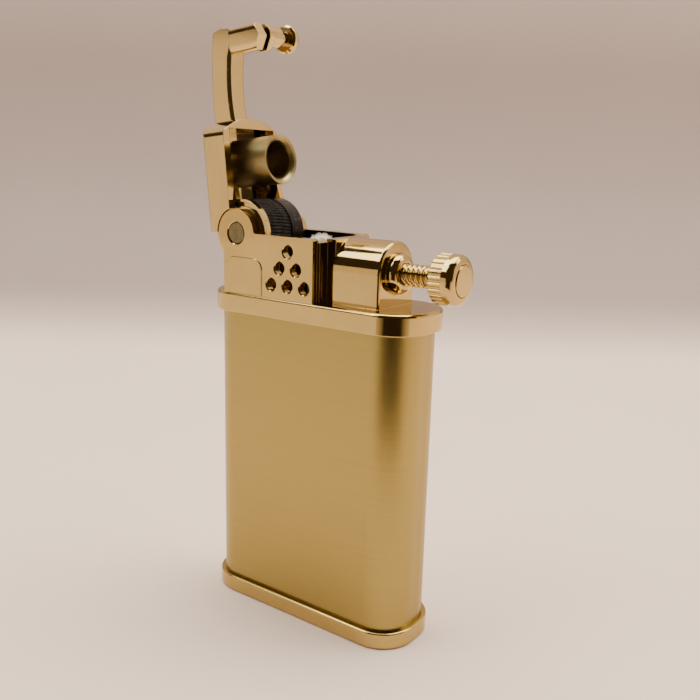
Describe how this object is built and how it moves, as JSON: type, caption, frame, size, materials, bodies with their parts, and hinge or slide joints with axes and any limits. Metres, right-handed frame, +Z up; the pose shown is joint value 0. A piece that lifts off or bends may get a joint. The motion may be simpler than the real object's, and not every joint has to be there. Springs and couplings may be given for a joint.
{
  "type": "lighter",
  "caption": "Lift-arm petrol lighter with a brushed brass case, snuffer arm, striker wheel, wick and side thumb screw.",
  "frame": {"origin": "middle of the flat underside of the base cap", "axes": "+X towards the thumb screw, +Y to the back, +Z up along the case"},
  "size_m": [0.0453, 0.0143, 0.0907],
  "materials": {
    "satin_brass": "brushed satin brass",
    "polished_brass": "polished gold-tone brass",
    "blackened_steel": "blackened hardened steel",
    "plain_steel": "satin steel",
    "spring_steel": "spring steel",
    "cotton": "white cotton",
    "felt": "pressed felt",
    "nitrile": "black rubber",
    "flint_alloy": "cast ferrocerium"
  },
  "bodies": {
    "case": {"case_sleeve": "satin_brass", "base_cap": "polished_brass", "top_frame": "polished_brass", "tank_plate": "satin_brass", "frame_screws": "plain_steel", "wick_tube": "satin_brass", "wick": "cotton", "cotton_wadding": "cotton", "flint_tube": "satin_brass", "flint": "flint_alloy", "flint_follower": "satin_brass", "flint_spring": "spring_steel", "pivot_axle": "plain_steel", "axle_spacer": "satin_brass", "gland_nut": "polished_brass", "gland_packing": "nitrile"},
    "arm": {"lift_arm": "polished_brass", "arm_knob": "polished_brass", "snuffer_cup": "satin_brass", "snuffer_pad": "felt", "pawl_pin": "plain_steel", "pawl": "plain_steel", "pawl_spring": "spring_steel"},
    "wheel": {"striker_wheel": "blackened_steel", "wheel_drum": "blackened_steel", "ratchet_wheel": "plain_steel", "wheel_bush": "satin_brass"},
    "screw_carrier": {"spindle_collar": "satin_brass"},
    "thumb_screw": {"spindle": "polished_brass", "thumb_knob": "polished_brass", "knob_cap": "polished_brass"},
    "filler": {"filler_plug": "satin_brass", "filler_gasket": "nitrile"},
    "flint_adjuster": {"flint_screw": "satin_brass"}
  },
  "joints": [
    {"name": "arm_hinge", "type": "hinge", "parent": "case", "child": "arm", "pos_m": [-0.01175, 0, 0.0595], "axis": [0, 1, 0], "range_deg": [0, 95]},
    {"name": "wheel_spin", "type": "hinge", "parent": "case", "child": "wheel", "pos_m": [-0.01175, 0, 0.0595], "axis": [0, 1, 0], "range_deg": [0, 95]},
    {"name": "screw_travel", "type": "slide", "parent": "case", "child": "screw_carrier", "axis": [1, 0, 0], "range_m": [0, 0.0032]},
    {"name": "screw_turn", "type": "hinge", "parent": "screw_carrier", "child": "thumb_screw", "pos_m": [0.0206, 0, 0.0552], "axis": [1, 0, 0], "range_deg": [0, 1441]},
    {"name": "filler_unscrew", "type": "slide", "parent": "case", "child": "filler", "axis": [0, 0, -1], "range_m": [0, 0.006]},
    {"name": "flint_unscrew", "type": "slide", "parent": "case", "child": "flint_adjuster", "axis": [0, 0, -1], "range_m": [0, 0.01]}
  ],
  "couplings": [
    {"joint": "wheel_spin", "follows": "arm_hinge", "ratio": 1},
    {"joint": "screw_turn", "follows": "screw_travel", "rad_per_m": 7854}
  ]
}
